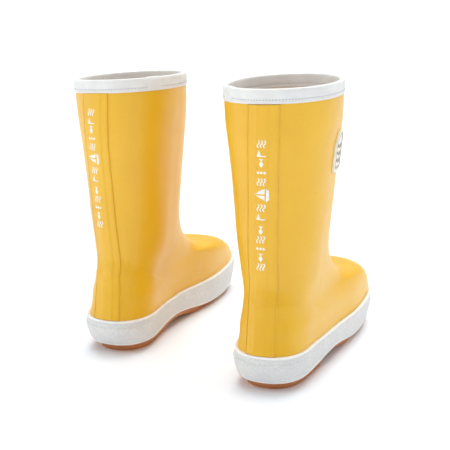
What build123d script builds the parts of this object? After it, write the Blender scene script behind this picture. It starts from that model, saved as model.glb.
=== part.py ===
from build123d import *
import os
from math import cos, pi

# Deck boots: a pair of rubber sailing boots, built layer by layer like a hand-laid,
# vulcanised boot. Millimetres, +Z up, +Y towards the toes, +X to the wearer's right.
# Every piece is made once in the frame of the right boot, where the heel is at y = 0,
# the toe is towards +Y and +X is the outer side, and is then placed or mirrored.

# ---- driving dimensions -------------------------------------------------------------
HEIGHT = 290.0            # sole to the top of the rubber shaft
LENGTH = 302.0            # heel to toe of the rubber upper
BOOT_SPACING = 183.5      # between the centrelines of the two boots
STEP_FORWARD = 45.0       # how far the left boot stands in front of the right one

UPPER_WALL = 2.2          # rubber of foot and shaft
POCKET_WALL = 1.0         # rubber left outside a stiffener
GLUE_GAP = 0.2            # cement line between two layers
LINING_GAP = 0.3          # foam-backed glue line behind the lining
LINING_WALL = 1.0         # knitted lining
BINDING_DEPTH = 12.5      # how far the rim tape reaches down, inside and outside
BINDING_WALL = 0.9
STITCH_ROW = 3.7          # stitches above the tape's lower edge
STITCH_PITCH = 3.0
STRIP_HALF_WIDTH = 15.5   # back strip
STRIP_WALL = 1.1
FOXING_WALL = 3.4         # crepe side strip of the sole
HEEL_TAPE_WALL = 0.9      # second strip laid over the foxing round the heel
INSOLE_BOARD = 1.8
FOOTBED = 4.5

HEEL_TAPE_DROP = 7.5      # its top edge below the top of the foxing
HEEL_TAPE_END = 34.0      # how far forward it reaches

SHANK_BACK = 62.0
SHANK_FRONT = 160.0
SHANK_WIDTH = 14.0
SHANK_WALL = 1.6

BADGE_WALL = 2.2          # moulded patch on the outer side of the shaft
BADGE_WIDTH = 34.0
BADGE_HEIGHT = 41.0
BADGE_BOTTOM = 207.0
BADGE_PLACE = 80.0        # its middle, from the heel
EMBLEM_WALL = 0.8

HEEL_END = 86.0           # front of the heel block
TREAD_DEPTH = 2.2
TREAD_PITCH = 9.0
TREAD_GROOVE = 2.0
TREAD_ANGLE = 16.0

# The shape that the boot is laid up on, as closed sections from toe-to-heel, bottom to top.
# Each section lies in a plane tilted from its back point to its front point:
# front y, z; back y, z; foot width scale; share of shaft; shaft half width; front, back rounding
SECTIONS = [
    (301, -8, 6, -8, 0.88, 0.00, 50, 78, 44),
    (302, 8, 4, 8, 0.92, 0.00, 50, 78, 44),
    (305, 28, -4, 30, 1.00, 0.00, 50, 78, 44),
    (305, 46, 0, 48, 0.99, 0.00, 50, 78, 45),
    (277, 58, 3, 60, 0.97, 0.05, 49, 76, 46),
    (242, 74, 6, 72, 0.89, 0.15, 47, 74, 47),
    (197, 81, 8, 84, 0.81, 0.30, 45, 72, 48),
    (161, 101, 12, 97, 0.74, 0.55, 44.5, 66, 50),
    (142, 123, 12, 112, 0.72, 0.85, 42, 62, 52),
    (132, 150, 10, 140, 0.72, 1.00, 43, 58, 52),
    (133, 185, 8, 180, 0.72, 1.00, 46.5, 60, 54),
    (135, 230, 2, 228, 0.72, 1.00, 50.5, 62, 58),
    (133, 262, 0, 260, 0.72, 1.00, 54.5, 64, 60),
    (129, HEIGHT, -1, HEIGHT, 0.72, 1.00, 56, 66, 62),
    (129, HEIGHT + 12, -1, HEIGHT + 12, 0.72, 1.00, 57, 66, 62),
]
# half width of the foot along its length, towards the outer and the inner side
FOOT_PLACES = (0.0, 0.12, 0.25, 0.42, 0.55, 0.66, 0.78, 0.90, 1.0)
FOOT_OUTER = (36.5, 36.5, 40.5, 45.5, 51.5, 54, 54, 49.5, 45)
FOOT_INNER = (33, 33, 30, 31.5, 38, 42.5, 42, 40, 38)
TOE_SKEW = 3.0            # how far the toe turns inwards
SECTION_POINTS = 32
OUTLINE_STEPS = 120

# side view curves as (y, z)
OUTSOLE_TOP = [(-25, 9.0), (60, 11.5), (112, 14.0), (165, 8.0), (230, 6.5), (320, 12.5)]
FOXING_TOP = [(-25, 38.0), (60, 38.5), (130, 37.0), (200, 38.5), (320, 45.0)]
FILLER_TOP = [(-25, 18.0), (60, 17.5), (112, 18.5), (165, 13.0), (230, 11.0), (320, 15.5)]
COUNTER_TOP = [(-25, 85), (40, 78), (70, 60), (104, 34)]
SOLE_ARCH = [(HEEL_END + 6, 6.5), (112, 8.0), (146, 2.5), (172, 0.0)]
SOLE_TOE = [(222, 0.0), (268, 2.2), (320, 8.0)]

# how the rim leans on each boot: slope towards the outer side, slope towards the toes, rise
RIM_LEAN = {"right": (0.034, 0.042, 2.9), "left": (-0.052, 0.007, 0.1)}
RIM_MIDDLE = 64.0         # where along the boot the rise is measured
# the hand-laid back strip wanders: (height, distance of its middle towards the outer side)
STRIP_COURSE = {
    "right": [(20, 0.5), (95, -3.5), (150, -4.0), (240, -1.0), (305, 0.0)],
    "left": [(20, 2.0), (110, 8.8), (205, 13.0), (305, 9.0)],
}


def blend_through(places, values, place):
    """Value at a place on a smooth cubic through the given values."""
    slopes = []
    for i in range(len(places)):
        low, high = max(i - 1, 0), min(i + 1, len(places) - 1)
        slopes.append((values[high] - values[low]) / (places[high] - places[low]))
    i = max(k for k in range(len(places) - 1) if places[k] <= place)
    step = places[i + 1] - places[i]
    u = (place - places[i]) / step
    return ((2 * u**3 - 3 * u**2 + 1) * values[i] + (u**3 - 2 * u**2 + u) * step * slopes[i]
            + (3 * u**2 - 2 * u**3) * values[i + 1] + (u**3 - u**2) * step * slopes[i + 1])


def rounded_end(distance, reach, power):
    """1 away from an end of the outline, falling to 0 at the end like a superellipse."""
    inward = min(max(1 - distance / reach, 0), 1)
    return (1 - inward**power) ** (1 / power)


def section_points(section, offset):
    """Evenly spaced points round one section of the boot, moved outwards by the offset."""
    front_y, front_z, back_y, back_z, foot_scale, shaft, shaft_width, front_round, back_round = section
    front_y, back_y = front_y + offset, back_y - offset
    power = 2.35 * (1 - shaft) + 2.1 * shaft
    loop = []
    for side, widths in ((1, FOOT_OUTER), (-1, FOOT_INNER)):
        half = []
        for k in range(OUTLINE_STEPS + 1):
            y = back_y + (front_y - back_y) * (1 + cos(pi * k / OUTLINE_STEPS)) / 2
            foot = blend_through(FOOT_PLACES, widths, min(max(y / LENGTH, 0), 0.9999)) * foot_scale
            width = (1 - shaft) * foot + shaft * shaft_width + offset
            width *= rounded_end(front_y - y, front_round + offset, power)
            width *= rounded_end(y - back_y, back_round + offset, power)
            skew = TOE_SKEW * min(max((y - 150) / 120, 0), 1.2) ** 2 * (1 - shaft)
            z = back_z + (front_z - back_z) * (y - back_y) / (front_y - back_y)
            half.append(Vector(side * width - skew, y, z))
        loop += half if side > 0 else half[::-1][1:]
    lengths = [0.0]
    for a, b in zip(loop, loop[1:]):
        lengths.append(lengths[-1] + (b - a).length)
    points, k = [], 0
    for i in range(SECTION_POINTS):
        target = lengths[-1] * i / SECTION_POINTS
        while lengths[k + 1] < target:
            k += 1
        share = (target - lengths[k]) / (lengths[k + 1] - lengths[k])
        points.append(loop[k] + (loop[k + 1] - loop[k]) * share)
    return points


def boot_form(offset):
    """The boot's full shape as one solid, grown outwards by the offset (inwards if negative)."""
    places = [i / SECTION_POINTS for i in range(SECTION_POINTS + 1)]
    wires = []
    for section in SECTIONS:
        loop = Edge.make_spline(section_points(section, offset), periodic=True, parameters=places)
        wires.append(Wire([loop]))
    return Solid.make_loft(wires)


def side_prism(outline):
    """A block right through the boot from a closed side view outline of edges."""
    return extrude(Plane.YZ * make_face(outline), 90, both=True)


def between(low, high):
    """The space between two side view curves, each a list of (y, z), or a height."""
    low = low if isinstance(low, list) else [(-25, low), (320, low)]
    high = high if isinstance(high, list) else [(-25, high), (320, high)]
    edges = [Spline(*low) if len(low) > 2 else Line(*low), Line(low[-1], high[-1])]
    edges += [Spline(*high) if len(high) > 2 else Line(*high), Line(high[0], low[0])]
    return side_prism(edges)


def raised(curve, by):
    return [(y, z + by) for y, z in curve]


def rim_plane(side, above):
    """The leaning plane of a boot's rim, moved up or down by some distance."""
    lean_out, lean_front, rise = RIM_LEAN[side]
    return Plane(origin=(0, RIM_MIDDLE, HEIGHT + rise + above), x_dir=(1, 0, lean_out),
                 z_dir=(-lean_out, -lean_front, 1))


def below_rim(side, above=0.0):
    """Everything below the rim plane."""
    return rim_plane(side, above) * Pos(0, 0, -400) * Box(400, 800, 800)


def layer(outer, inner, space):
    """The part of a shell between two offsets of the boot form that lies in the space."""
    return (FORM[outer] - FORM[inner]) & space


# ---- layers of the boot form ----------------------------------------------------------
LINING_OUT = -(UPPER_WALL + LINING_GAP)
LINING_IN = LINING_OUT - LINING_WALL
SKIN = GLUE_GAP
OFFSETS = {
    "upper_out": 0.0, "pocket_out": -POCKET_WALL, "stiffener_out": -(POCKET_WALL + 0.1),
    "stiffener_in": -UPPER_WALL, "upper_in": -UPPER_WALL, "lining_out": LINING_OUT, "lining_in": LINING_IN,
    "footbed": LINING_IN - 0.3, "skin": SKIN, "strip": STRIP_WALL + SKIN, "binding_out": BINDING_WALL + SKIN,
    "binding_in": LINING_IN - GLUE_GAP - BINDING_WALL, "binding_slot": LINING_IN - GLUE_GAP,
    "foxing": FOXING_WALL, "heel_tape_in": FOXING_WALL + 0.1, "heel_tape": FOXING_WALL + HEEL_TAPE_WALL,
    "outsole": -0.6, "stitch_line": SKIN + BINDING_WALL + 0.45, "badge": SKIN + BADGE_WALL,
    "emblem_in": SKIN + BADGE_WALL + 0.1, "emblem_out": SKIN + BADGE_WALL + 0.1 + EMBLEM_WALL,
}
FORM = {name: boot_form(offset) for name, offset in OFFSETS.items()}


def trimmed(curve, first, last):
    """A straight lower edge that follows a side view curve between two places along the boot."""
    places, heights = zip(*curve)
    return [(y, blend_through(places, heights, y)) for y in (first, last)]


def make_upper(side):
    """Moulded rubber foot and shaft, thinned inside where the two stiffeners lie."""
    shell = layer("upper_out", "upper_in", between(raised(OUTSOLE_TOP, GLUE_GAP), ABOVE_RIM))
    shell = shell & below_rim(side)
    for pocket in (COUNTER_POCKET, PUFF_POCKET):
        shell -= FORM["pocket_out"] & pocket
    return shell


def make_lining(side):
    return layer("lining_out", "lining_in", between(raised(BOARD_TOP, GLUE_GAP), ABOVE_RIM)) & below_rim(side)


def make_binding(side):
    """Folded tape over the rim: one layer outside, one inside, joined over the edge."""
    wrap_space = below_rim(side, GLUE_GAP + BINDING_WALL) - below_rim(side, -BINDING_DEPTH)
    slot_space = below_rim(side, GLUE_GAP) - below_rim(side, -BINDING_DEPTH - 1)
    return layer("binding_out", "binding_in", wrap_space) - layer("skin", "binding_slot", slot_space)


def make_stitching(side):
    """A row of short stitches round the outside of the tape, each a solid of its own."""
    height = STITCH_ROW - BINDING_DEPTH
    slab = FORM["stitch_line"] & (below_rim(side, height + 2) - below_rim(side, height))
    ring = slab.faces().sort_by(Axis.Z)[0].outer_wire()
    count = round(ring.length / STITCH_PITCH)
    upright = rim_plane(side, 0).z_dir
    stitches = []
    for i in range(count):
        along = ring.tangent_at(i / count)
        stitches.append(Plane(ring.position_at(i / count), x_dir=along, z_dir=upright) * Box(2.0, 0.5, 0.6))
    return Compound(stitches)


def make_back_strip(side):
    """A strip over the back seam, cut to its wandering course and laid up to the rim tape."""
    middle = [(x, z) for z, x in STRIP_COURSE[side]]
    left = [(x - STRIP_HALF_WIDTH, z) for x, z in middle]
    right = [(x + STRIP_HALF_WIDTH, z) for x, z in middle]
    outline = [Spline(*left), Line(left[-1], right[-1]), Spline(*right), Line(right[0], left[0])]
    blank = Pos(0, 60, 0) * extrude(Plane.XZ * make_face(outline), 110)
    strip = layer("strip", "skin", between(raised(FOXING_TOP, 0.3), ABOVE_RIM)) & blank
    return strip & below_rim(side, -BINDING_DEPTH - 0.3)


def make_foxing():
    return layer("foxing", "skin", between(raised(OUTSOLE_TOP, GLUE_GAP), FOXING_TOP))


def make_heel_tape():
    band = between(raised(OUTSOLE_TOP, 2.0), raised(FOXING_TOP, -HEEL_TAPE_DROP))
    return layer("heel_tape", "heel_tape_in", band) & Pos(0, -10, 20) * Box(160, 2 * HEEL_TAPE_END + 20, 60)


def forefoot_edges(by):
    """The flat ball and the toe spring of the sole's underside, raised by some distance."""
    ball, toe = raised([(158, 0.0), SOLE_TOE[0]], by), raised(SOLE_TOE, by)
    return [Line(*ball), Spline(*toe, tangents=((1, 0), (1, 0.13)))]


def make_outsole():
    """Gum rubber sole: a grooved heel block, a raised arch and a grooved forefoot with toe spring."""
    outline = [Line((-25, 0), (HEEL_END, 0)), Line((HEEL_END, 0), SOLE_ARCH[0]),
               Spline(*SOLE_ARCH, tangents=((1, 0.15), (1, 0))), Line(SOLE_ARCH[-1], SOLE_TOE[0]),
               forefoot_edges(0)[1], Line(SOLE_TOE[-1], OUTSOLE_TOP[-1]), Spline(*OUTSOLE_TOP),
               Line(OUTSOLE_TOP[0], (-25, 0))]
    sole = FORM["outsole"] & side_prism(outline)
    top = forefoot_edges(TREAD_DEPTH)
    under = [(320, -3), (158, -3)]
    forefoot = side_prism(top + [Line(top[-1] @ 1, under[0]), Line(*under), Line(under[1], top[0] @ 0)])
    heel = between([(0, -3), (HEEL_END + 2, -3)], [(0, TREAD_DEPTH), (HEEL_END + 2, TREAD_DEPTH)])
    grooves = []
    for tread, first, last in ((heel, 26, HEEL_END - 6), (forefoot, 172, 290)):
        for i in range(int((last - first) / TREAD_PITCH) + 1):
            for side in (1, -1):
                arm = Rot(0, 0, side * TREAD_ANGLE) * Pos(side * 40, 0, 4) * Box(84, TREAD_GROOVE, 20)
                grooves.append(Pos(-TOE_SKEW / 2, first + i * TREAD_PITCH, 0) * arm & tread)
    return sole - grooves


def make_filler():
    """Sponge rubber that levels the inside of the sole, with a channel for the shank."""
    filler = FORM["lining_out"] & between(raised(OUTSOLE_TOP, GLUE_GAP), FILLER_TOP)
    return filler - shank_block(GLUE_GAP)


def shank_block(grow):
    """Steel strip that stiffens the arch, let into the top of the filler."""
    length = SHANK_FRONT - SHANK_BACK + 2 * grow
    bar = Pos(0, (SHANK_FRONT + SHANK_BACK) / 2, 15) * Box(SHANK_WIDTH + 2 * grow, length, 30)
    top = 1.0 if grow else -GLUE_GAP
    return bar & between(raised(FILLER_TOP, -SHANK_WALL - GLUE_GAP - grow), raised(FILLER_TOP, top))


def make_badge(outer, inner, outline):
    """A slice of a raised patch on the outer side of the shaft, cut to a side view outline."""
    patch = extrude(Plane.YZ * outline, 90)
    return (FORM[outer] & patch) - FORM[inner]


def badge_outline():
    """Arch topped patch outline in the side view."""
    half, spring = BADGE_WIDTH / 2, BADGE_BOTTOM + BADGE_HEIGHT - BADGE_WIDTH / 2
    y = BADGE_PLACE
    corners = [(y - half, spring), (y - half, BADGE_BOTTOM), (y + half, BADGE_BOTTOM), (y + half, spring)]
    edges = [Line(a, b) for a, b in zip(corners, corners[1:])]
    return make_face(edges + [RadiusArc(corners[-1], corners[0], -half)])


def wave(z):
    """One wave of the emblem: a curled bar across the patch."""
    quarter, y = BADGE_WIDTH / 8, BADGE_PLACE
    crest = [(y - 2.6 * quarter, z), (y - 1.3 * quarter, z + 1.6), (y, z), (y + 1.3 * quarter, z - 1.6),
             (y + 2.6 * quarter, z)]
    top = raised(crest, 2.2)
    return make_face([Spline(*crest), Line(crest[-1], top[-1]), Spline(*top), Line(top[0], crest[0])])


def make_emblem():
    waves = [make_badge("emblem_out", "emblem_in", wave(BADGE_BOTTOM + 9 + 7 * i)) for i in range(3)]
    return Compound(waves)


ABOVE_RIM = HEIGHT + 11
BOARD_LOW = raised(FILLER_TOP, GLUE_GAP)
BOARD_TOP = raised(BOARD_LOW, INSOLE_BOARD)
COUNTER_SPACE = between(trimmed(raised(OUTSOLE_TOP, 1.2), -20, 104), COUNTER_TOP)
COUNTER_POCKET = between(trimmed(raised(OUTSOLE_TOP, 0.8), -20, 104.4), raised(COUNTER_TOP, 0.4))
PUFF_SPACE = between([(236, 15.0), (318, 15.0)], [(248, 96), (318, 96)])
PUFF_POCKET = between([(235.6, 14.4), (319, 14.4)], [(247.6, 97), (319, 97)])

SAME_PIECES = {
    "heel_counter": layer("stiffener_out", "stiffener_in", COUNTER_SPACE),
    "toe_puff": layer("stiffener_out", "stiffener_in", PUFF_SPACE),
    "badge": make_badge("badge", "skin", badge_outline()),
    "badge_emblem": make_emblem(),
    "foxing": make_foxing(),
    "heel_tape": make_heel_tape(),
    "outsole": make_outsole(),
    "sole_filler": make_filler(),
    "shank": shank_block(0),
    "insole_board": FORM["lining_out"] & between(BOARD_LOW, BOARD_TOP),
    "footbed": FORM["footbed"] & between(raised(BOARD_TOP, GLUE_GAP), raised(BOARD_TOP, GLUE_GAP + FOOTBED)),
}
OWN_PIECES = {"upper": make_upper, "lining": make_lining, "rim_binding": make_binding,
              "binding_stitching": make_stitching, "back_strip": make_back_strip}

# ---- the pair: the left boot is the mirror image of the right one, with its own rim and back strip ----
PLACE = {
    "right": Pos(BOOT_SPACING / 2, -STEP_FORWARD / 2, 0),
    "left": Pos(-BOOT_SPACING / 2, STEP_FORWARD / 2, 0),
}


def placed(side, piece):
    return PLACE[side] * (piece if side == "right" else mirror(piece, Plane.YZ))


pair = {}
for side in PLACE:
    pieces = SAME_PIECES | {name: make(side) for name, make in OWN_PIECES.items()}
    pair |= {f"{side}_{name}": placed(side, piece) for name, piece in pieces.items()}
boxes = [piece.bounding_box() for piece in pair.values()]
middle_x = (min(b.min.X for b in boxes) + max(b.max.X for b in boxes)) / 2
middle_y = (min(b.min.Y for b in boxes) + max(b.max.Y for b in boxes)) / 2
to_centre = Pos(-middle_x, -middle_y, 0)

os.makedirs("parts", exist_ok=True)
for name, piece in pair.items():
    export_step(to_centre * piece, f"parts/{name}.step")
print("right boot's own origin:", BOOT_SPACING / 2 - middle_x, -STEP_FORWARD / 2 - middle_y)
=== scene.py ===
"""Deck boots: the looks of the pair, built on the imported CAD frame.

Lengths are in millimetres in each boot's own frame, as in the CAD model (heel at y = 0, toe towards +Y,
outer side +X, floor at z = 0), and are turned into metres in the row frame when a mesh is made.
"""
import math

import bmesh
import bpy
import numpy as np
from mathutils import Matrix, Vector


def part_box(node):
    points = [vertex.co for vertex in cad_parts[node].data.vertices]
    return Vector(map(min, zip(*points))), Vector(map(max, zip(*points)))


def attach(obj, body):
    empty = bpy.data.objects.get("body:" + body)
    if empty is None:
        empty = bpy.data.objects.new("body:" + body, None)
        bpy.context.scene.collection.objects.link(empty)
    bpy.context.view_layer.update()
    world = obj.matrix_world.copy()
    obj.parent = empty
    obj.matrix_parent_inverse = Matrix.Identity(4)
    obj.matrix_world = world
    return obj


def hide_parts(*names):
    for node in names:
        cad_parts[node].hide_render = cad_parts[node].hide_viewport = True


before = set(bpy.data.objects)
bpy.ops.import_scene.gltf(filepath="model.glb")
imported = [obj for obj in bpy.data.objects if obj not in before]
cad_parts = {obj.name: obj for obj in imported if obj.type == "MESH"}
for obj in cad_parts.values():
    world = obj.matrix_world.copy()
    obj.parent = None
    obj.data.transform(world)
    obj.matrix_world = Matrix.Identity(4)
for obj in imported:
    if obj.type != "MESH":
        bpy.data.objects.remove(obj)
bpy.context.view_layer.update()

# ---- sizes of the boot, the same as the CAD model's ------------------------------------
HEIGHT = 290.0
LENGTH = 302.0
UPPER_WALL = 2.2
POCKET_WALL = 1.0
GLUE_GAP = 0.2
LINING_GAP = 0.3
LINING_WALL = 1.0
BINDING_DEPTH = 12.5
BINDING_WALL = 0.9
STRIP_HALF_WIDTH = 15.5
STRIP_WALL = 1.1
FOXING_WALL = 3.4
HEEL_TAPE_WALL = 0.9
HEEL_TAPE_DROP = 7.5
HEEL_TAPE_END = 34.0
INSOLE_BOARD = 1.8
FOOTBED = 4.5
STITCH_PITCH = 3.0
SHANK_BACK = 62.0
BADGE_WALL = 2.2
BADGE_WIDTH = 34.0
BADGE_HEIGHT = 41.0
BADGE_BOTTOM = 207.0
BADGE_PLACE = 80.0

LINING_OUT = -(UPPER_WALL + LINING_GAP)
LINING_IN = LINING_OUT - LINING_WALL

# front y, z; back y, z; foot width scale; share of shaft; shaft half width; front, back rounding
SECTIONS = np.array([
    (301, -8, 6, -8, 0.88, 0.00, 50, 78, 44),
    (302, 8, 4, 8, 0.92, 0.00, 50, 78, 44),
    (305, 28, -4, 30, 1.00, 0.00, 50, 78, 44),
    (305, 46, 0, 48, 0.99, 0.00, 50, 78, 45),
    (283, 63, 3, 60, 0.98, 0.05, 49, 76, 46),
    (243, 75, 6, 72, 0.90, 0.15, 47, 74, 47),
    (197, 81, 8, 84, 0.81, 0.30, 45, 72, 48),
    (161, 101, 12, 97, 0.74, 0.55, 44.5, 66, 50),
    (142, 123, 12, 112, 0.72, 0.85, 42, 62, 52),
    (132, 150, 10, 140, 0.72, 1.00, 43, 58, 52),
    (133, 185, 8, 180, 0.72, 1.00, 46.5, 60, 54),
    (135, 230, 2, 228, 0.72, 1.00, 50.5, 62, 58),
    (133, 262, 0, 260, 0.72, 1.00, 54.5, 64, 60),
    (129, HEIGHT, -1, HEIGHT, 0.72, 1.00, 56, 66, 62),
    (129, HEIGHT + 12, -1, HEIGHT + 12, 0.72, 1.00, 57, 66, 62),
], float)
FOOT_PLACES = (0.0, 0.12, 0.25, 0.42, 0.55, 0.66, 0.78, 0.90, 1.0)
FOOT_OUTER = (36.5, 36.5, 40.5, 45.5, 51.5, 54, 54, 49.5, 45)
FOOT_INNER = (33, 33, 30, 31.5, 38, 42.5, 42, 40, 38)
TOE_SKEW = 3.0
OUTLINE_STEPS = 200

# side view curves as (y, z)
OUTSOLE_TOP = [(-25, 9.0), (60, 11.5), (112, 14.0), (165, 8.0), (230, 6.5), (320, 12.5)]
FOXING_TOP = [(-25, 38.0), (60, 38.5), (130, 37.0), (200, 38.5), (320, 45.0)]
FILLER_TOP = [(-25, 18.0), (60, 17.5), (112, 18.5), (165, 13.0), (230, 11.0), (320, 15.5)]
COUNTER_TOP = [(-25, 85), (40, 78), (70, 60), (104, 34)]

RIM_MIDDLE = 64.0
# how the rim leans on each boot: slope towards the outer side, slope towards the toes, rise
RIM_LEAN = {"right": (0.034, 0.042, 2.9), "left": (-0.052, 0.007, 0.1)}
# where the middle of the back strip runs, as (height, distance towards the outer side)
STRIP_COURSE = {
    "right": [(20, 0.5), (95, -3.5), (150, -4.0), (240, -1.0), (305, 0.0)],
    "left": [(20, 2.0), (110, 8.8), (205, 13.0), (305, 9.0)],
}
MOTIF_LOW = {"right": 118.0, "left": 134.0}
MOTIF_SHIFT = {"right": -0.5, "left": 4.0}

SIDES = {"right": 1, "left": -1}


# ---- the boot's form ---------------------------------------------------------------------
def smooth_curve(places, values, wanted):
    """Natural cubic spline through values (one row or more per place), read at the wanted places."""
    x = np.asarray(places, float)
    y = np.asarray(values, float).reshape(len(x), -1)
    h = np.diff(x)
    system = np.eye(len(x))
    right = np.zeros_like(y)
    for i in range(1, len(x) - 1):
        system[i, i - 1:i + 2] = h[i - 1], 2 * (h[i - 1] + h[i]), h[i]
        right[i] = 6 * ((y[i + 1] - y[i]) / h[i] - (y[i] - y[i - 1]) / h[i - 1])
    bend = np.linalg.solve(system, right)
    at = np.clip(np.asarray(wanted, float), x[0], x[-1])
    i = np.clip(np.searchsorted(x, at, side="right") - 1, 0, len(x) - 2)
    a, b, step = (x[i + 1] - at)[..., None], (at - x[i])[..., None], h[i][..., None]
    result = (bend[i] * a**3 + bend[i + 1] * b**3) / (6 * step)
    result += (y[i] / step - bend[i] * step / 6) * a + (y[i + 1] / step - bend[i + 1] * step / 6) * b
    return result if np.ndim(values) > 1 else result[..., 0]


def curve(points, rise=0.0):
    """A side view curve as a function: height at each y."""
    places, heights = zip(*points)
    return lambda x, y: smooth_curve(places, heights, y) + rise


def level(height):
    return lambda x, y: np.full_like(y, height)


def rim(side, above=0.0):
    """The plane of the rim, which leans a little on each boot, raised by some distance."""
    lean_out, lean_front, rise = RIM_LEAN[side]
    return lambda x, y: HEIGHT + rise + above + lean_out * x + lean_front * (y - RIM_MIDDLE)


def rounded_end(distance, reach, power):
    inward = np.clip(1 - distance / reach, 0, 1)
    return (1 - inward**power) ** (1 / power)


def form_grid(places, offset, columns):
    """Points on the boot form moved outwards by the offset: one row per place along the sections."""
    values = smooth_curve(np.arange(len(SECTIONS)), SECTIONS, places)
    front_y, front_z, back_y, back_z, scale, shaft, shaft_width, front_round, back_round = values.T[..., None]
    front_y, back_y = front_y + offset, back_y - offset
    power = 2.35 * (1 - shaft) + 2.1 * shaft
    y = back_y + (front_y - back_y) * (1 + np.cos(np.linspace(0, np.pi, OUTLINE_STEPS))) / 2
    ends = rounded_end(front_y - y, front_round + offset, power)
    ends = ends * rounded_end(y - back_y, back_round + offset, power)
    skew = TOE_SKEW * np.clip((y - 150) / 120, 0, 1.2) ** 2 * (1 - shaft)
    z = back_z + (front_z - back_z) * (y - back_y) / (front_y - back_y)
    halves = []
    for side, widths in ((1, FOOT_OUTER), (-1, FOOT_INNER)):
        foot = smooth_curve(FOOT_PLACES, widths, y / LENGTH) * scale
        width = (1 - shaft) * foot + shaft * shaft_width + offset
        halves.append(np.stack([side * width * ends - skew, y, z], -1))
    loops = np.concatenate([halves[0], halves[1][:, -2::-1]], 1)
    grid = np.empty((len(places), columns, 3))
    for row, loop in zip(grid, loops):
        length = np.concatenate([[0], np.cumsum(np.linalg.norm(np.diff(loop, axis=0), axis=1))])
        wanted = np.linspace(0, length[-1], columns, endpoint=False)
        for axis in range(3):
            row[:, axis] = np.interp(wanted, length, loop[:, axis])
    return grid


class Form:
    """The boot's form, sampled finely between two sections, with its outward direction."""

    def __init__(self, columns, first, last, rows):
        places = np.linspace(first, last, rows)
        self.base = form_grid(places, 0.0, columns)
        self.out = (form_grid(places, 2.0, columns) - form_grid(places, -2.0, columns)) / 4

    def row_at(self, offset, height):
        """For each column, the row number, with its fraction, where the height curve is crossed."""
        grid = self.base + self.out * np.asarray(offset)[..., None]
        above = grid[..., 2] - height(grid[..., 0], grid[..., 1])
        low = np.clip((above < 0).sum(0) - 1, 0, len(grid) - 2)
        c = np.arange(grid.shape[1])
        a, b = above[low, c], above[low + 1, c]
        return low + a / (a - b)

    def points(self, rows, offset):
        """Points at one row number per column, moved outwards by the offset."""
        low = np.clip(np.floor(rows).astype(int), 0, len(self.base) - 2)
        c, w = np.arange(self.base.shape[1]), (rows - low)[..., None]
        base = self.base[low, c] * (1 - w) + self.base[low + 1, c] * w
        out = self.out[low, c] * (1 - w) + self.out[low + 1, c] * w
        return base + out * np.asarray(offset)[..., None]

    def ring(self, offset, height):
        return self.points(self.row_at(offset, height), offset)


def step_up(distance, width):
    """0 to 1 across a soft edge of that width."""
    u = np.clip(distance / width + 0.5, 0, 1)
    return u * u * (3 - 2 * u)


def bump(distance, width):
    """A soft ridge: 1 on the line, 0 past the width."""
    return np.clip(1 - (distance / width) ** 2, 0, 1) ** 2


# ---- repeatable noise --------------------------------------------------------------------
def lattice(cells, seed):
    """A pseudo-random value from 0 to 1 for each whole-number cell."""
    n = cells[..., 0] * 73856093 ^ cells[..., 1] * 19349663 ^ cells[..., 2] * 83492791 ^ seed * 2654435761
    n = (n ^ (n >> 13)) * 1274126177 & 0xFFFFFFFF
    n = (n ^ (n >> 16)) * 2246822519 & 0xFFFFFFFF
    return ((n ^ (n >> 15)) & 0xFFFF) / 0xFFFF


def noise(points, size, seed):
    """Smooth noise from 0 to 1 with grains of that size."""
    at = np.asarray(points) / size + 1000
    cell = np.floor(at).astype(np.int64)
    f = at - cell
    f = f * f * (3 - 2 * f)
    total = 0
    for corner in np.ndindex(2, 2, 2):
        weight = np.prod(np.where(corner, f, 1 - f), -1)
        total = total + weight * lattice(cell + np.array(corner), seed)
    return total


# ---- meshes ------------------------------------------------------------------------------
def boot_origin(side):
    """Where a boot's own origin lies in the row frame: its shank starts at a known place."""
    low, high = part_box(f"{side}_shank")
    return np.array([(low[0] + high[0]) * 500, low[1] * 1000 - SHANK_BACK, 0.0])


ORIGIN = {side: boot_origin(side) for side in SIDES}


def add_piece(name, side, points, faces, material, slot, stands_for=()):
    """A mesh piece, given in the right boot's own millimetres, that rides on its boot."""
    place = (np.asarray(points).reshape(-1, 3) * (SIDES[side], 1, 1) + ORIGIN[side]) / 1000
    mesh = bpy.data.meshes.new(f"{side}_{name}")
    mesh.from_pydata(place.tolist(), [], faces)
    shell = bmesh.new()
    shell.from_mesh(mesh)
    bmesh.ops.recalc_face_normals(shell, faces=shell.faces[:])
    shell.to_mesh(mesh)
    shell.free()
    mesh.polygons.foreach_set("use_smooth", [True] * len(mesh.polygons))
    mesh.materials.append(material)
    piece = bpy.data.objects.new(f"{side}_{name}_look", mesh)
    bpy.context.scene.collection.objects.link(piece)
    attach(piece, f"{side}_boot")
    if stands_for:
        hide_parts(*[f"{side}_{node}" for node in stands_for])
    return piece


def grid_faces(rows, columns, wrap_rows, wrap_columns, start=0):
    """Quads of a grid of points, rows running up the outside of the boot."""
    r = np.arange(rows if wrap_rows else rows - 1)[:, None]
    c = np.arange(columns if wrap_columns else columns - 1)[None, :]
    a, b = r * columns + c, (r + 1) % rows * columns + c
    d, e = r * columns + (c + 1) % columns, (r + 1) % rows * columns + (c + 1) % columns
    return (np.stack([a, b, e, d], -1).reshape(-1, 4) + start).tolist()


def band(rings):
    """A closed band round the boot from rings that go up its outside and down its inside."""
    return np.stack(rings), grid_faces(len(rings), len(rings[0]), True, True)


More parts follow.
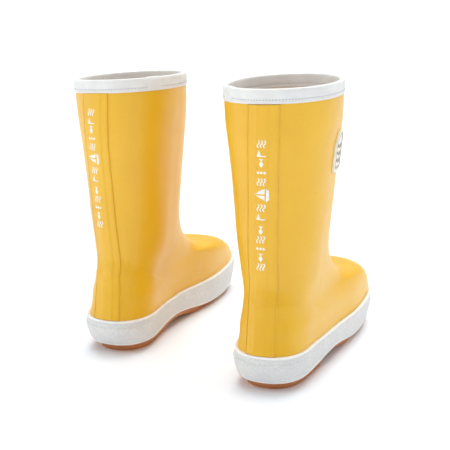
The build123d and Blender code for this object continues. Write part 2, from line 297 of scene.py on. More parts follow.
def sheet(outer, inner):
    """A closed sheet from two equal grids of points, front and back, joined round the border."""
    rows, columns = outer.shape[:2]
    points = np.concatenate([outer.reshape(-1, 3), inner.reshape(-1, 3)])
    count = rows * columns
    faces = grid_faces(rows, columns, False, False)
    faces += [f[::-1] for f in grid_faces(rows, columns, False, False, count)]
    index = np.arange(count).reshape(rows, columns)
    border = np.concatenate([index[0], index[1:, -1], index[-1, -2::-1], index[-2:0:-1, 0]])
    for a, b in zip(border, np.roll(border, -1)):
        faces.append([a, b, b + count, a + count])
    return points, faces


# ---- materials ---------------------------------------------------------------------------
def rgb(red, green, blue):
    """A screen colour, 0 to 255, as linear light."""
    channels = [c / 255 for c in (red, green, blue)]
    return tuple(c / 12.92 if c <= 0.04045 else ((c + 0.055) / 1.055) ** 2.4 for c in channels) + (1.0,)


class Finish:
    """A Principled material with a few procedural layers added by name."""

    def __init__(self, name, colour, roughness, **sockets):
        self.material = bpy.data.materials.new(name)
        self.material.use_nodes = True
        self.nodes, self.links = self.material.node_tree.nodes, self.material.node_tree.links
        self.shader = self.nodes["Principled BSDF"]
        self.place = self.nodes.new("ShaderNodeTexCoord").outputs["Object"]
        self.shader.inputs["Base Color"].default_value = colour
        self.shader.inputs["Roughness"].default_value = roughness
        for socket, value in sockets.items():
            self.shader.inputs[socket.replace("_", " ")].default_value = value
        self.colour, self.height = None, None

    def stretched(self, factors):
        mapping = self.nodes.new("ShaderNodeMapping")
        mapping.inputs["Scale"].default_value = factors
        self.links.new(self.place, mapping.inputs["Vector"])
        return mapping.outputs["Vector"]

    def noise(self, size_mm, detail=3.0, factors=None):
        node = self.nodes.new("ShaderNodeTexNoise")
        node.inputs["Scale"].default_value = 1000 / size_mm
        node.inputs["Detail"].default_value = detail
        self.links.new(self.stretched(factors) if factors else self.place, node.inputs["Vector"])
        return node.outputs["Fac"]

    def cells(self, size_mm, output="Distance"):
        node = self.nodes.new("ShaderNodeTexVoronoi")
        node.inputs["Scale"].default_value = 1000 / size_mm
        self.links.new(self.place, node.inputs["Vector"])
        return node.outputs[output]

    def wave(self, size_mm, direction, distortion=0.0):
        node = self.nodes.new("ShaderNodeTexWave")
        node.bands_direction = direction
        node.inputs["Scale"].default_value = 1000 / size_mm / 6.2832 * 2
        node.inputs["Distortion"].default_value = distortion
        self.links.new(self.place, node.inputs["Vector"])
        return node.outputs["Fac"]

    def mix_colour(self, value, colour, amount=1.0, low=0.4, high=0.6):
        """Lays a colour over what is there where the value rises from low to high."""
        mask = self.spread(value, low, high, 0.0, amount)
        node = self.nodes.new("ShaderNodeMix")
        node.data_type = "RGBA"
        self.links.new(mask, node.inputs["Factor"])
        if self.colour is None:
            node.inputs["A"].default_value = self.shader.inputs["Base Color"].default_value
        else:
            self.links.new(self.colour, node.inputs["A"])
        node.inputs["B"].default_value = colour
        self.colour = node.outputs["Result"]
        self.links.new(self.colour, self.shader.inputs["Base Color"])
        return self

    def spread(self, value, low, high, to_low, to_high):
        node = self.nodes.new("ShaderNodeMapRange")
        for socket, number in zip(("From Min", "From Max", "To Min", "To Max"), (low, high, to_low, to_high)):
            node.inputs[socket].default_value = number
        self.links.new(value, node.inputs["Value"])
        return node.outputs["Result"]

    def vary_roughness(self, value, low, high):
        self.links.new(self.spread(value, 0.3, 0.7, low, high), self.shader.inputs["Roughness"])
        return self

    def grain(self, value, depth_mm, strength=1.0):
        """Adds a bump layer of that depth."""
        node = self.nodes.new("ShaderNodeBump")
        node.inputs["Distance"].default_value = depth_mm / 1000
        node.inputs["Strength"].default_value = strength
        self.links.new(value, node.inputs["Height"])
        if self.height is not None:
            self.links.new(self.height, node.inputs["Normal"])
        self.height = node.outputs["Normal"]
        self.links.new(self.height, self.shader.inputs["Normal"])
        return self


def yellow_rubber():
    f = Finish("yellow_rubber", rgb(230, 177, 24), 0.42, Coat_Weight=0.3, Coat_Roughness=0.35)
    f.mix_colour(f.noise(60, 2), rgb(238, 188, 26), 0.5, 0.35, 0.7)
    f.mix_colour(f.noise(2.5, 4), rgb(222, 166, 12), 0.2, 0.45, 0.75)
    f.vary_roughness(f.noise(14, 4), 0.38, 0.5)
    f.grain(f.noise(9, 3), 0.10, 0.35)
    f.grain(f.noise(0.7, 2), 0.03, 0.35)
    return f.material


def lining_knit():
    f = Finish("lining_knit", rgb(250, 238, 226), 0.9, Sheen_Weight=0.25, Sheen_Roughness=0.5)
    f.mix_colour(f.noise(22, 3), rgb(244, 228, 214), 0.5)
    f.mix_colour(f.wave(1.1, "Z"), rgb(222, 202, 186), 0.35, 0.2, 0.8)
    f.grain(f.wave(1.1, "Z", 1.0), 0.15, 0.6)
    f.grain(f.wave(1.3, "DIAGONAL", 0.5), 0.15, 0.5)
    return f.material


def binding_tape():
    f = Finish("binding_tape", rgb(232, 232, 229), 0.75, Sheen_Weight=0.15)
    f.mix_colour(f.noise(12, 3), rgb(220, 220, 218), 0.6)
    f.mix_colour(f.wave(0.8, "DIAGONAL"), rgb(215, 215, 214), 0.3, 0.2, 0.8)
    f.grain(f.wave(0.8, "DIAGONAL", 0.4), 0.08, 0.6)
    f.grain(f.noise(0.5, 2), 0.04, 0.5)
    return f.material


def thread():
    f = Finish("thread", rgb(188, 190, 197), 0.7)
    f.mix_colour(f.noise(0.6, 1), rgb(164, 167, 175), 0.6)
    f.grain(f.wave(0.4, "DIAGONAL"), 0.05, 0.6)
    return f.material


def crepe_rubber():
    f = Finish("crepe_rubber", rgb(224, 224, 222), 0.8)
    f.mix_colour(f.noise(0.9, 3), rgb(200, 202, 204), 0.7, 0.45, 0.65)
    f.mix_colour(f.cells(1.6, "Color"), rgb(238, 237, 232), 0.5, 0.5, 0.9)
    f.mix_colour(f.noise(25, 2), rgb(212, 213, 214), 0.4)
    f.grain(f.noise(0.45, 2), 0.12, 0.7)
    return f.material


def foxing_edge():
    f = Finish("foxing_edge", rgb(240, 240, 238), 0.5)
    f.mix_colour(f.noise(6, 3), rgb(228, 228, 226), 0.5)
    f.grain(f.noise(0.8, 2), 0.03, 0.4)
    return f.material


def gum_rubber():
    f = Finish("gum_rubber", rgb(202, 130, 76), 0.5, Subsurface_Weight=0.08, Subsurface_Scale=0.004)
    f.mix_colour(f.noise(18, 3), rgb(188, 114, 64), 0.6)
    f.mix_colour(f.noise(1.2, 3), rgb(206, 142, 100), 0.3)
    f.vary_roughness(f.noise(5, 3), 0.45, 0.62)
    f.grain(f.noise(0.8, 3), 0.06, 0.5)
    return f.material


def badge_rubber():
    f = Finish("badge_rubber", rgb(242, 237, 222), 0.5)
    f.mix_colour(f.noise(8, 3), rgb(230, 225, 208), 0.5)
    f.grain(f.noise(0.6, 2), 0.05, 0.5)
    return f.material


def emblem_rubber():
    f = Finish("emblem_rubber", rgb(176, 172, 158), 0.5)
    f.mix_colour(f.noise(4, 3), rgb(158, 154, 142), 0.5)
    f.grain(f.noise(0.6, 2), 0.04, 0.5)
    return f.material


def ink():
    f = Finish("ink", rgb(250, 248, 240), 0.55)
    f.mix_colour(f.noise(3, 3), rgb(240, 232, 210), 0.4)
    f.grain(f.noise(0.5, 2), 0.02, 0.4)
    return f.material


def stiffener_canvas():
    f = Finish("stiffener_canvas", rgb(200, 192, 175), 0.9)
    f.mix_colour(f.wave(1.0, "DIAGONAL"), rgb(176, 168, 150), 0.6, 0.2, 0.8)
    f.grain(f.wave(1.0, "DIAGONAL"), 0.15, 0.7)
    return f.material


def sponge_rubber():
    f = Finish("sponge_rubber", rgb(150, 145, 136), 0.9)
    f.mix_colour(f.cells(1.5), rgb(120, 115, 106), 0.7, 0.1, 0.5)
    f.grain(f.cells(1.5), 0.3, 0.8)
    return f.material


def fibre_board():
    f = Finish("fibre_board", rgb(196, 168, 128), 0.85)
    f.mix_colour(f.noise(2, 4), rgb(170, 142, 104), 0.6)
    f.grain(f.noise(0.8, 3), 0.1, 0.6)
    return f.material


def shank_steel():
    f = Finish("shank_steel", rgb(170, 172, 176), 0.35, Metallic=1.0)
    f.vary_roughness(f.noise(1.5, 3, (1, 0.05, 1)), 0.28, 0.45)
    f.grain(f.noise(1.0, 2, (1, 0.05, 1)), 0.02, 0.5)
    return f.material


def footbed_felt():
    f = Finish("footbed_felt", rgb(206, 186, 170), 0.9, Sheen_Weight=0.3)
    f.mix_colour(f.noise(1.5, 3), rgb(186, 164, 146), 0.5)
    f.grain(f.noise(0.7, 3), 0.15, 0.7)
    return f.material


FINISH = {make.__name__: make() for make in (
    yellow_rubber, lining_knit, binding_tape, thread, crepe_rubber, foxing_edge, gum_rubber, badge_rubber,
    emblem_rubber, ink, stiffener_canvas, sponge_rubber, fibre_board, shank_steel, footbed_felt)}

# ---- upper, lining and back strip --------------------------------------------------------
BODY = Form(320, 0, 13.9, 760)
RIM = Form(660, 11.6, 13.9, 90)
SOLE = Form(1300, 0.6, 4.2, 150)

outsole_top = curve(OUTSOLE_TOP, GLUE_GAP)
foxing_top = curve(FOXING_TOP)
board_top = curve(FILLER_TOP, GLUE_GAP + INSOLE_BOARD + GLUE_GAP)
counter_top = curve(COUNTER_TOP)
COUNTER_FRONT = COUNTER_TOP[-1][0]


def distance_to_counter_edge(points):
    """How far inside the edge of the heel stiffener a point lies in the side view; negative outside."""
    y = np.linspace(COUNTER_TOP[0][0], COUNTER_FRONT, 60)
    edge = np.stack([y, counter_top(0, y)], -1)
    flat = points.reshape(-1, 3)[:, 1:]
    near = np.min(np.linalg.norm(flat[:, None] - edge[None], axis=-1), axis=1).reshape(points.shape[:-1])
    inside = (points[..., 1] < COUNTER_FRONT) & (points[..., 2] < counter_top(0, points[..., 1]))
    return np.where(inside, near, -near)


def rubber_relief(points):
    """How the layers underneath and hand work show on the outside of the yellow rubber, in mm."""
    counter = distance_to_counter_edge(points)
    puff = points[..., 1] - (236 + (points[..., 2] - 15) * 0.148)
    relief = 0.5 * step_up(counter, 5) + 0.28 * bump(counter + 1.0, 3.5) + 0.3 * step_up(puff, 7)
    relief += 0.5 * (noise(points, 60, 1) - 0.5) + 0.16 * (noise(points, 17, 2) - 0.5)
    return relief


def make_upper(side):
    rows_up, rows_down = 200, 30
    low, high = BODY.row_at(0, outsole_top), BODY.row_at(0, rim(side))
    rings = []
    for s in np.linspace(0, 1, rows_up):
        rows = low + (high - low) * s
        plain = BODY.points(rows, 0.0)
        rings.append(BODY.points(rows, rubber_relief(plain)))
    low, high = BODY.row_at(-UPPER_WALL, outsole_top), BODY.row_at(-UPPER_WALL, rim(side))
    for s in np.linspace(1, 0, rows_down):
        rows = low + (high - low) * s
        plain = BODY.points(rows, 0.0)
        pocket = step_up(distance_to_counter_edge(plain) + 2, 3)
        pocket = np.maximum(pocket, step_up(plain[..., 1] - (236 + (plain[..., 2] - 15) * 0.148) + 2, 3))
        rings.append(BODY.points(rows, -UPPER_WALL + (UPPER_WALL - POCKET_WALL) * pocket))
    add_piece("upper", side, *band(rings), FINISH["yellow_rubber"], "yellow_rubber", ["upper"])


def make_lining(side):
    rings = []
    for offset, steps in ((LINING_OUT, np.linspace(0, 1, 40)), (LINING_IN, np.linspace(1, 0, 110))):
        low, high = BODY.row_at(offset, board_top), BODY.row_at(offset, rim(side, -0.2))
        for s in steps:
            rows = low + (high - low) * s
            plain = BODY.points(rows, offset)
            ease = 0.35 * (noise(plain, 24, 5) - 0.5) if offset == LINING_IN else 0.0
            rings.append(BODY.points(rows, offset + ease))
    add_piece("lining", side, *band(rings), FINISH["lining_knit"], "lining_knit", ["lining"])


class Patch:
    """Part of the form as a table over two directions: across it (x at the back, y on the side) and up."""

    def __init__(self, axis, columns, across, heights):
        self.across, self.heights = across, heights
        tables = []
        for offset in (0.0, 1.0):
            table = []
            for height in heights:
                ring = BODY.points(BODY.row_at(0, level(height)), offset)[columns]
                order = np.argsort(ring[:, axis])
                table.append([np.interp(across, ring[order, axis], ring[order, k]) for k in range(3)])
            tables.append(np.moveaxis(np.array(table), 1, 2))
        self.base, self.out = tables[0], tables[1] - tables[0]

    def look_up(self, table, across, up):
        i = np.interp(up, self.heights, np.arange(len(self.heights)))
        j = np.interp(across, self.across, np.arange(len(self.across)))
        low = np.minimum(i.astype(int), len(self.heights) - 2)
        left = np.minimum(j.astype(int), len(self.across) - 2)
        u, v = (i - low)[..., None], (j - left)[..., None]
        bottom = table[low, left] * (1 - v) + table[low, left + 1] * v
        top = table[low + 1, left] * (1 - v) + table[low + 1, left + 1] * v
        return bottom * (1 - u) + top * u

    def at(self, across, up, lift):
        across, up = np.broadcast_arrays(np.asarray(across, float), np.asarray(up, float))
        lift = np.broadcast_to(np.asarray(lift, float), across.shape)
        return self.look_up(self.base, across, up) + self.look_up(self.out, across, up) * lift[..., None]


RING = BODY.base.shape[1]
BACK = Patch(0, np.arange(RING * 3 // 10, RING * 7 // 10), np.linspace(-36, 36, 73), np.arange(28, 300, 2.0))
SIDE = Patch(1, np.arange(RING // 2), np.linspace(10, 125, 116), np.arange(150, 290, 2.0))
STRIP_EDGE = 0.9


def strip_centre(side, up):
    """Where the middle of the back strip runs: it wanders off the centreline on the left boot."""
    places, drift = zip(*STRIP_COURSE[side])
    return smooth_curve(places, drift, up)


def strip_relief(side, across, up):
    """The lap seam of the upper shows through the strip as a soft ridge with a step."""
    u = across - strip_centre(side, up)
    return 0.55 * (step_up(u + 7.5, 3) - step_up(u - 5.5, 3.5)) + 0.25 * bump(u + 6.0, 2.5)


def strip_surface(side, across, up):
    """Height of the strip's face above the form."""
    return GLUE_GAP + rubber_relief(BACK.at(across, up, 0.0)) + STRIP_WALL + strip_relief(side, across, up)


def make_back_strip(side):
    half, turn = STRIP_HALF_WIDTH, np.linspace(0, np.pi / 2, 7)
    edge = half - STRIP_EDGE * (1 - np.sin(turn))[::-1]
    u = np.concatenate([edge[::-1], np.linspace(half - STRIP_EDGE, STRIP_EDGE - half, 46)[1:-1], -edge])
    lift = np.sqrt(np.clip(1 - ((np.abs(u) - half + STRIP_EDGE) / STRIP_EDGE).clip(0, 1) ** 2, 0, 1))
    rise = np.linspace(0, 1, 240)[:, None]
    start = BACK.at(u, np.full(len(u), 36.0), 0.0)
    low = foxing_top(start[:, 0], start[:, 1]) + 0.3
    high = rim(side, -BINDING_DEPTH - 0.3)(start[:, 0], start[:, 1])
    up = low + (high - low) * rise
    across = strip_centre(side, up.ravel()).reshape(up.shape) + u
    face = strip_surface(side, across.ravel(), up.ravel()).reshape(up.shape)
    outer = BACK.at(across, up, face * lift + 0.1 * (1 - lift))
    under = BACK.at(across, up, np.full(up.shape, -0.05) - 0.1 * (1 - lift))
    add_piece("back_strip", side, *sheet(outer, under), FINISH["yellow_rubber"], "yellow_rubber",
              ["back_strip"])


# ---- rim ---------------------------------------------------------------------------------
BINDING_OUT = GLUE_GAP + BINDING_WALL
BINDING_IN = LINING_IN - GLUE_GAP - BINDING_WALL
STITCH_LINE = 3.7 - BINDING_DEPTH
OVERLAP = {"right": (-35.0, 10.0), "left": (-42.0, 16.0)}      # where the tape's ends lap, seen from above


def arc_lengths(ring):
    """Distance along a closed ring to each point, and its whole length."""
    steps = np.linalg.norm(np.roll(ring, -1, 0) - ring, axis=1)
    return np.concatenate([[0], np.cumsum(steps)[:-1]]), steps.sum()


def binding_profile():
    """Offset, height above the rim and skin (1 outside, 2 top, -1 inside, 0 hidden) round the folded tape."""
    low, top = -BINDING_DEPTH, GLUE_GAP + BINDING_WALL
    middle, half = (BINDING_OUT + BINDING_IN) / 2, (BINDING_OUT - BINDING_IN) / 2
    profile = [(GLUE_GAP, low, 0), (BINDING_OUT - 0.3, low, 0), (BINDING_OUT - 0.08, low + 0.12, 1)]
    profile += [(BINDING_OUT, z, 1) for z in np.linspace(low + 0.4, -1.2, 22)]
    for a in np.linspace(0, np.pi, 15)[1:-1]:
        c, s = math.cos(a), math.sin(a)
        profile.append((middle + half * math.copysign(abs(c) ** 0.55, c), -1.2 + 2.3 * s**0.75, 2))
    profile += [(BINDING_IN, z, -1) for z in np.linspace(-1.2, low + 0.4, 14)]
    profile += [(BINDING_IN + 0.08, low + 0.12, -1), (BINDING_IN + 0.3, low, 0)]
    profile += [(LINING_IN - GLUE_GAP, low, 0)]
    profile += [(LINING_IN - GLUE_GAP, top - BINDING_WALL, 0), (GLUE_GAP, top - BINDING_WALL, 0)]
    return profile


def make_binding(side):
    reference = RIM.ring(BINDING_OUT, rim(side, STITCH_LINE))
    along, total = arc_lengths(reference)
    phase = (along / total * round(total / STITCH_PITCH)) % 1.0
    pucker = bump(phase - 0.5, 0.42)
    start = along - along[np.argmin(np.linalg.norm(reference[:, :2] - OVERLAP[side], axis=1))]
    lap = step_up(start, 0.5) * (1 - step_up(start - 14, 3))
    rings = []
    for offset, height, skin in binding_profile():
        near_stitch = bump(height - STITCH_LINE, 2.2)
        puff = 0.3 * bump(height + 4.5, 6.5) + 0.12 * bump(height + BINDING_DEPTH - 0.8, 1.2)
        swell = puff - 0.28 * pucker * near_stitch - 0.12 * near_stitch
        swell = swell + 0.9 * lap * (height > -BINDING_DEPTH)
        ring = RIM.ring(offset, rim(side, height))
        wobble = 0.3 * (noise(ring * (1, 1, 0.6), 13, 8) - 0.5)
        if skin == 1:
            ring = RIM.ring(offset + swell + wobble, rim(side, height))
        elif skin == -1:
            ring = RIM.ring(offset - swell * 0.8 - wobble, rim(side, height))
        elif skin == 2:
            ring[:, 2] += 0.5 * lap + 0.3 * wobble
        rings.append(ring)
    add_piece("rim_binding", side, *band(rings), FINISH["binding_tape"], "binding_tape", ["rim_binding"])


def make_stitching(side):
    """Rows of short thread stitches, pulled into the tape, outside and inside the rim."""
    lengths = np.array([-1.0, -0.86, -0.45, 0.45, 0.86, 1.0]) * 0.9
    radii = np.array([0.02, 0.24, 0.36, 0.36, 0.24, 0.02])
    turn = np.linspace(0, 2 * np.pi, 8, endpoint=False)
    up = np.array([0, 0, 1.0])
    points, faces, start = [], [], 0
    for offset in (BINDING_OUT - 0.02, BINDING_IN + 0.02):
        ring = RIM.ring(offset, rim(side, STITCH_LINE))
        along, total = arc_lengths(ring)
        count = round(total / STITCH_PITCH)
        closed = np.concatenate([ring, ring[:1]])
        for i in range(count):
            here = [[np.interp((i + 0.5 + d) / count * total, np.append(along, total), closed[:, k])
                     for k in range(3)] for d in (-0.1, 0, 0.1)]
            forward = np.subtract(here[2], here[0])
            forward /= np.linalg.norm(forward)
            outward = np.cross(up, forward)
            lean = 0.12 * (lattice(np.array([i, 3, 7]), 21) - 0.5)
            for d, r in zip(lengths, radii):
                centre = here[1] + forward * d + up * d * lean
                circle = np.outer(np.cos(turn), outward) * 0.8 + np.outer(np.sin(turn), up)
                points.append(centre + r * circle)
            faces += grid_faces(len(radii), len(turn), False, True, start)
            last = start + len(turn) * (len(radii) - 1)
            faces += [list(range(start, start + len(turn))), list(range(last, last + len(turn)))]
            start = last + len(turn)
    add_piece("binding_stitching", side, np.concatenate(points), faces, FINISH["thread"], "thread",
              ["binding_stitching"])


# ---- sole --------------------------------------------------------------------------------
FOXING_JOINT = 106.0           # where the ends of the foxing overlap on the inner side


def crepe(points):
    """Depth of the foxing's grained face, in mm."""
    grain = 0.55 * (noise(points, 1.5, 11) - 0.5) + 0.45 * (noise(points, 0.8, 12) - 0.5)
    return grain + 0.15 * (noise(points, 7.0, 13) - 0.5)


def make_foxing(side):
    low, high = SOLE.row_at(FOXING_WALL, outsole_top), SOLE.row_at(FOXING_WALL, foxing_top)
    bottom = [(GLUE_GAP, 0.0), (2.6, 0.0), (3.1, 0.004), (3.38, 0.016), (3.5, 0.035), (3.5, 0.055),
              (3.36, 0.07)]
    top = [(3.3, 0.925), (3.5, 0.94), (3.56, 0.96), (3.45, 0.98), (3.15, 0.993), (2.7, 1.0),
           (GLUE_GAP, 1.0)]
    field = [(None, s) for s in np.linspace(0.075, 0.92, 40)]
    inside = [(GLUE_GAP, 0.7), (GLUE_GAP, 0.35)]
    rings = []
    for offset, s in bottom + field + top + inside:
        rows = low + (high - low) * s
        plain = SOLE.points(rows, FOXING_WALL)
        if offset is None:
            edge = min(1.0, (s - 0.07) / 0.03, (0.925 - s) / 0.03)
            ring = SOLE.points(rows, 3.2 + crepe(plain) * max(edge, 0.15))
        else:
            smooth = 0.12 * (noise(plain, 9, 14) - 0.5)
            ring = SOLE.points(rows, offset + (smooth if offset > 1 else 0))
        joint = step_up(plain[:, 1] - FOXING_JOINT, 0.8) * (1 - step_up(plain[:, 1] - FOXING_JOINT - 45, 70))
        ring[:, 2] += 1.0 * joint * (plain[:, 0] < 0) * s
        rings.append(ring)
    piece = add_piece("foxing", side, *band(rings), FINISH["crepe_rubber"], "crepe_rubber", ["foxing"])
    piece.data.materials.append(FINISH["foxing_edge"])
    on_field = [len(bottom) - 1 <= r < len(bottom) + len(field) for r in range(len(rings))]
    index = np.repeat([0 if field_row else 1 for field_row in on_field], len(rings[0]))
    piece.data.polygons.foreach_set("material_index", index)


def make_heel_tape(side):
    """The second strip round the heel: crepe like the foxing, thinning out towards its two ends."""
    middle = SOLE.points(SOLE.row_at(FOXING_WALL, level(25.0)), FOXING_WALL)
    columns = np.flatnonzero(middle[:, 1] < HEEL_TAPE_END)
    low = SOLE.row_at(FOXING_WALL, curve(OUTSOLE_TOP, GLUE_GAP + 2.4))
    high = SOLE.row_at(FOXING_WALL, curve(FOXING_TOP, -HEEL_TAPE_DROP))
    taper = step_up(HEEL_TAPE_END - 6 - middle[columns, 1], 22)
    outer, inner = [], []
    for s in np.concatenate([[0, 0.01, 0.03], np.linspace(0.06, 0.94, 26), [0.97, 0.99, 1.0]]):
        rows = low + (high - low) * s
        plain = SOLE.points(rows, FOXING_WALL)
        edge = math.sqrt(max(1 - max(0.06 - s, s - 0.94, 0) ** 2 / 0.06**2, 0))
        lift = 3.3 + 0.15 + HEEL_TAPE_WALL * edge + crepe(plain) * 0.8 * edge
        lift = lift[columns] * taper + 3.0 * (1 - taper)
        outer.append(SOLE.points(rows, np.pad(lift, (columns[0], len(plain) - columns[-1] - 1)))[columns])
        inner.append(SOLE.points(rows, 2.6)[columns])
    add_piece("heel_tape", side, *sheet(np.stack(outer), np.stack(inner)), FINISH["crepe_rubber"],
              "crepe_rubber", ["heel_tape"])


def make_footbed(side):
    """Loose foam insole with a fabric face, slightly cupped round its edge."""
    ring = BODY.ring(LINING_IN - 0.5, lambda x, y: board_top(x, y) + 2.0)
    half = len(ring) // 2
    back, front = ring[:, 1].min() + 0.2, ring[:, 1].max() - 0.2
    y = back + (front - back) * (1 - np.cos(np.linspace(0.02, np.pi - 0.02, 150))) / 2
    outer_x = np.interp(y, ring[:half + 1, 1][::-1], ring[:half + 1, 0][::-1])
    inner_x = np.interp(y, ring[half:, 1], ring[half:, 0])
    u = np.cos(np.linspace(0, np.pi, 41))
    x = (outer_x + inner_x)[:, None] / 2 + (outer_x - inner_x)[:, None] / 2 * u
    yy = np.repeat(y[:, None], len(u), 1)
    edge = np.abs(u) ** 5 * np.ones_like(yy)
    top = board_top(x, yy) + FOOTBED - 0.7 * edge + 0.2 * (noise(np.stack([x, yy, yy * 0], -1), 15, 31) - 0.5)
    bottom = board_top(x, yy) + 0.1 + 0.5 * edge
    points, faces = sheet(np.stack([x, yy, top], -1), np.stack([x, yy, bottom], -1))
    piece = add_piece("footbed", side, points, faces, FINISH["footbed_felt"], "footbed_felt", ["footbed"])


# ---- badge and printed motif ---------------------------------------------------------------
def badge_edge(y, z):
    """Distance inwards from the outline of the arch topped patch."""
    spring = BADGE_BOTTOM + BADGE_HEIGHT - BADGE_WIDTH / 2
    straight = np.minimum(BADGE_WIDTH / 2 - np.abs(y - BADGE_PLACE), z - BADGE_BOTTOM)
    arch = BADGE_WIDTH / 2 - np.hypot(y - BADGE_PLACE, z - spring)
    return np.clip(np.where(z > spring, arch, straight), 0, None)


def badge_surface(y, z):
    """Height of the patch's face above the form: a raised frame round a sunk field."""
    edge = badge_edge(y, z)
    rise = np.sqrt(np.clip(1 - np.clip(1 - edge / 0.8, 0, 1) ** 2, 0, 1))
    lift = GLUE_GAP + BADGE_WALL * rise - 0.8 * step_up(edge - 2.6, 0.6)
    return lift + rubber_relief(SIDE.at(y, z, 0.0))


def make_badge(side):
    z = BADGE_BOTTOM + BADGE_HEIGHT * (1 - np.cos(np.linspace(0, np.pi, 121))) / 2
    over = np.clip((z - (BADGE_BOTTOM + BADGE_HEIGHT - BADGE_WIDTH / 2)) / (BADGE_WIDTH / 2), 0, 1)
    half = np.maximum(BADGE_WIDTH / 2 * np.sqrt(1 - over**2), 0.05)
    y = BADGE_PLACE + half[:, None] * np.cos(np.linspace(0, np.pi, 91))
    z = np.repeat(z[:, None], y.shape[1], 1)
    lift = badge_surface(y.ravel(), z.ravel()).reshape(y.shape)
    add_piece("badge", side, *sheet(SIDE.at(y, z, lift), SIDE.at(y, z, -0.1)), FINISH["badge_rubber"],
              "badge_rubber", ["badge"])


def ribbon(path, width, closed=False):
    """A flat band of that width along a path, as its left and right edges."""
    path = np.asarray(path, float)
    ahead = np.roll(path, -1, 0) - np.roll(path, 1, 0)
    if not closed:
        ahead[0], ahead[-1] = path[1] - path[0], path[-1] - path[-2]
    ahead /= np.linalg.norm(ahead, axis=1)[:, None]
    side = np.stack([-ahead[:, 1], ahead[:, 0]], -1) * width / 2
    return path + side, path - side, closed


def wave_band(length, height, count, width, middle=0.0):
    t = np.linspace(0, 1, 16 * count + 1)
    return ribbon(np.stack([(t - 0.5) * length, middle + height * np.sin(2 * np.pi * count * t)], -1), width)


def disc(x, y, radius):
    a = np.linspace(0.15, np.pi - 0.15, 13)
    edge = np.stack([x - radius * np.cos(a), radius * np.sin(a)], -1)
    return edge + (0, y), edge * (1, -1) + (0, y), False


def wedge(tip, first, second):
    """A filled triangle, as two edges spreading from its tip."""
    t = np.linspace(0.05, 1, 9)[:, None]
    tip, first, second = np.array(tip), np.array(first), np.array(second)
    return tip + (first - tip) * t, tip + (second - tip) * t, False


def raised_strokes(strokes, place, surface, thickness):
    """Thin solids on the boot from flat strokes: place maps flat points to (across, up) on a patch."""
    points, faces, count = [], [], 0
    for left, right, closed in strokes:
        flat = np.stack([left, left, (left + right) / 2, right, right], 1)
        lift = np.array([-0.06, thickness * 0.8, thickness, thickness * 0.8, -0.06])
        rows, ring = flat.shape[:2]
        points.append(surface(*place(flat.reshape(-1, 2)), np.tile(lift, rows)))
        faces += grid_faces(rows, ring, closed, True, count)
        if not closed:
            end = count + (rows - 1) * ring
            faces += [list(range(count, count + ring)), list(range(end, end + ring))]
        count += rows * ring
    return np.concatenate(points), faces


def make_emblem(side):
    """Three waves and a thin frame line in relief on the patch."""
    strokes = [wave_band(20, 1.4, 2, 1.7, 10.5 + 7 * i) for i in range(3)]
    half, spring = BADGE_WIDTH / 2 - 4.2, BADGE_HEIGHT - BADGE_WIDTH / 2
    arch = [(half * math.cos(a), spring + half * math.sin(a)) for a in np.linspace(0, np.pi, 41)]
    foot = [(x, 4.2) for x in np.linspace(-half, half, 15)]
    walls = [(-half, z) for z in np.linspace(spring, 4.2, 12)[1:-1]]
    frame_line = arch + walls + foot + [(-x, z) for x, z in walls[::-1]]
    strokes.append(ribbon(frame_line, 0.9, True))

    def surface(y, z, lift):
        return SIDE.at(y, z, badge_surface(y, z) + lift)

    def on_badge(flat):
        return BADGE_PLACE + flat[:, 0], BADGE_BOTTOM + flat[:, 1]

    points, faces = raised_strokes(strokes, on_badge, surface, 0.7)
    add_piece("badge_emblem", side, points, faces, FINISH["emblem_rubber"], "emblem_rubber",
              ["badge_emblem"])


def sea_signs():
    """Small printed signs, each about 9 mm high: waves, fish, floats, a pennant and a sailing boat."""
    t = np.linspace(0.04, 0.96, 15)
    body = np.stack([-4.0 + 6.2 * t, 2.0 * np.sin(np.pi * t)], -1)
    return {
        "waves": [wave_band(7.0, 1.0, 1, 1.1, v) for v in (-3.0, 0.0, 3.0)],
        "fish": [(body, body * (1, -1), False), wedge((1.6, 0), (4.0, 2.2), (4.0, -2.2))],
        "floats": [disc(0, v, 1.25) for v in (-3.2, 0.0, 3.2)],
        "pennant": [ribbon([(-2.4, -4.4), (-2.4, 0), (-2.4, 4.4)], 1.0),
                    wedge((3.6, 2.4), (-1.8, 4.4), (-1.8, 0.4))],
        "boat": [wedge((0.9, -3.4), (0.9, 8.0), (6.4, -3.4)), wedge((-0.4, -3.4), (-0.4, 6.2), (-5.2, -3.4)),
                 (np.array([(-6.6, -4.6), (0, -4.8), (6.6, -4.6)]),
                  np.array([(-4.6, -7.4), (0, -7.6), (4.6, -7.4)]),
                  False)],
    }


MOTIF = ("waves", "fish", "floats", "waves", "fish", None, "pennant", "waves", "boat", "waves", "floats",
         "fish", "pennant", "waves")
BOAT_ROOM, SIGN_ROOM, GAP_ROOM = 16.0, 9.0, 4.0


def make_motif(side):
    """White print on the back strip, reading upwards, as a film a fraction of a millimetre thick."""
    signs = sea_signs()
    up = MOTIF_LOW[side]
    strokes = []
    for sign in MOTIF:
        room = {"boat": BOAT_ROOM, None: GAP_ROOM}.get(sign, SIGN_ROOM)
        for left, right, closed in signs.get(sign, []):
            strokes.append((left + (up + room / 2, 0), right + (up + room / 2, 0), closed))
        up += room

    def place(flat):
        return strip_centre(side, flat[:, 0]) - flat[:, 1] * SIDES[side] + MOTIF_SHIFT[side], flat[:, 0]

    def surface(across, up, lift):
        return BACK.at(across, up, strip_surface(side, across, up) + lift)

    points, faces = raised_strokes(strokes, place, surface, 0.15)
    add_piece("printed_motif", side, points, faces, FINISH["ink"], "binding_tape")


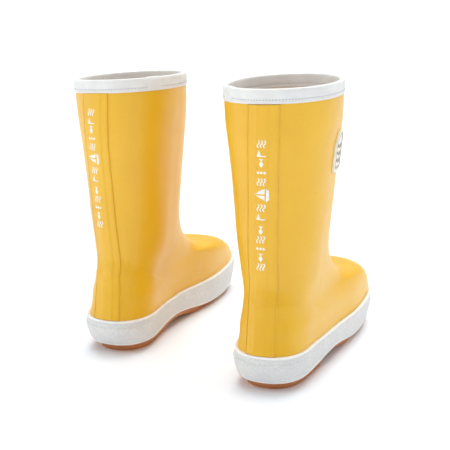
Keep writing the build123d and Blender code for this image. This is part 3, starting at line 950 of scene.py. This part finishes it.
# ---- building both boots -------------------------------------------------------------------
MAKERS = (make_upper, make_lining, make_back_strip, make_binding, make_stitching, make_foxing, make_heel_tape,
          make_footbed, make_badge, make_emblem, make_motif)
for boot in SIDES:
    for make in MAKERS:
        make(boot)

CAD_FINISH = {"outsole": "gum_rubber", "heel_counter": "stiffener_canvas", "toe_puff": "stiffener_canvas",
              "sole_filler": "sponge_rubber", "insole_board": "fibre_board", "shank": "shank_steel"}
for node, finish in CAD_FINISH.items():
    for boot in SIDES:
        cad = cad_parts[f"{boot}_{node}"]
        cad.data.materials.clear()
        cad.data.materials.append(FINISH[finish])

# ---- camera, floor and light -----------------------------------------------------------------
AZIMUTH = math.radians(20.2)
ELEVATION = math.radians(13.2)
DISTANCE = 1.115
LENS = 77.8
AIM_OFFSET = (-0.0129, 0.1608, 0.1171)
FLOOR_REACH = 200.0
CAMERA_REACH = 500.0

scene = bpy.context.scene
aim = Vector(((ORIGIN["right"] + ORIGIN["left"]) / 2000 + np.array(AIM_OFFSET)).tolist())
back = Vector((math.sin(AZIMUTH) * math.cos(ELEVATION), -math.cos(AZIMUTH) * math.cos(ELEVATION),
               math.sin(ELEVATION)))
camera = bpy.data.objects.new("camera", bpy.data.cameras.new("camera"))
camera.data.lens = LENS
camera.data.sensor_width = 36.0
camera.location = aim + back * DISTANCE
camera.rotation_euler = (-back).to_track_quat("-Z", "Y").to_euler()
camera.data.clip_end = CAMERA_REACH
scene.collection.objects.link(camera)
scene.camera = camera


def make_floor():
    mesh = bpy.data.meshes.new("floor")
    corners = [(x * FLOOR_REACH, y * FLOOR_REACH, 0) for x, y in ((-1, -1), (1, -1), (1, 1), (-1, 1))]
    mesh.from_pydata(corners, [], [(0, 1, 2, 3)])
    floor = bpy.data.objects.new("floor", mesh)
    finish = Finish("floor", rgb(243, 247, 252), 0.6)
    finish.mix_colour(finish.noise(400, 2), rgb(241, 245, 251), 0.5)
    mesh.materials.append(finish.material)
    scene.collection.objects.link(floor)


def hang_lamp(light, turn, height, target, distance):
    """Points a light at a target: turn in degrees right of the camera, height in degrees above the floor."""
    lamp = bpy.data.objects.new(light.name, light)
    around, above = AZIMUTH + math.radians(turn), math.radians(height)
    flat = math.cos(above)
    source = Vector((math.sin(around) * flat, -math.cos(around) * flat, math.sin(above)))
    lamp.location = target + source * distance
    lamp.rotation_euler = source.to_track_quat("Z", "Y").to_euler()
    scene.collection.objects.link(lamp)


def add_sun(name, turn, height, softness, strength):
    """A soft, distant light."""
    light = bpy.data.lights.new(name, "SUN")
    light.angle, light.energy = math.radians(softness), strength
    hang_lamp(light, turn, height, aim, 3.0)


def add_panel(name, turn, height, target, distance, width, power):
    """A square soft box near the boots."""
    light = bpy.data.lights.new(name, "AREA")
    light.size, light.energy = width, power
    hang_lamp(light, turn, height, target, distance)


make_floor()
add_sun("left", -80, 25, 40, 0.7)
add_sun("front", 5, 58, 60, 0.68)
add_sun("right", 85, 25, 50, 0.45)
add_sun("above", 165, 66, 55, 2.95)
left_shaft = Vector((ORIGIN["left"] / 1000 + (0.0, 0.02, 0.18)).tolist())
add_panel("front_left", -40, 28, left_shaft, 0.85, 0.5, 0.5)

world = bpy.data.worlds.new("studio")
world.use_nodes = True
world.node_tree.nodes["Background"].inputs["Color"].default_value = (1, 1, 1, 1)
world.node_tree.nodes["Background"].inputs["Strength"].default_value = 0.32
scene.world = world
scene.view_settings.view_transform = "Standard"
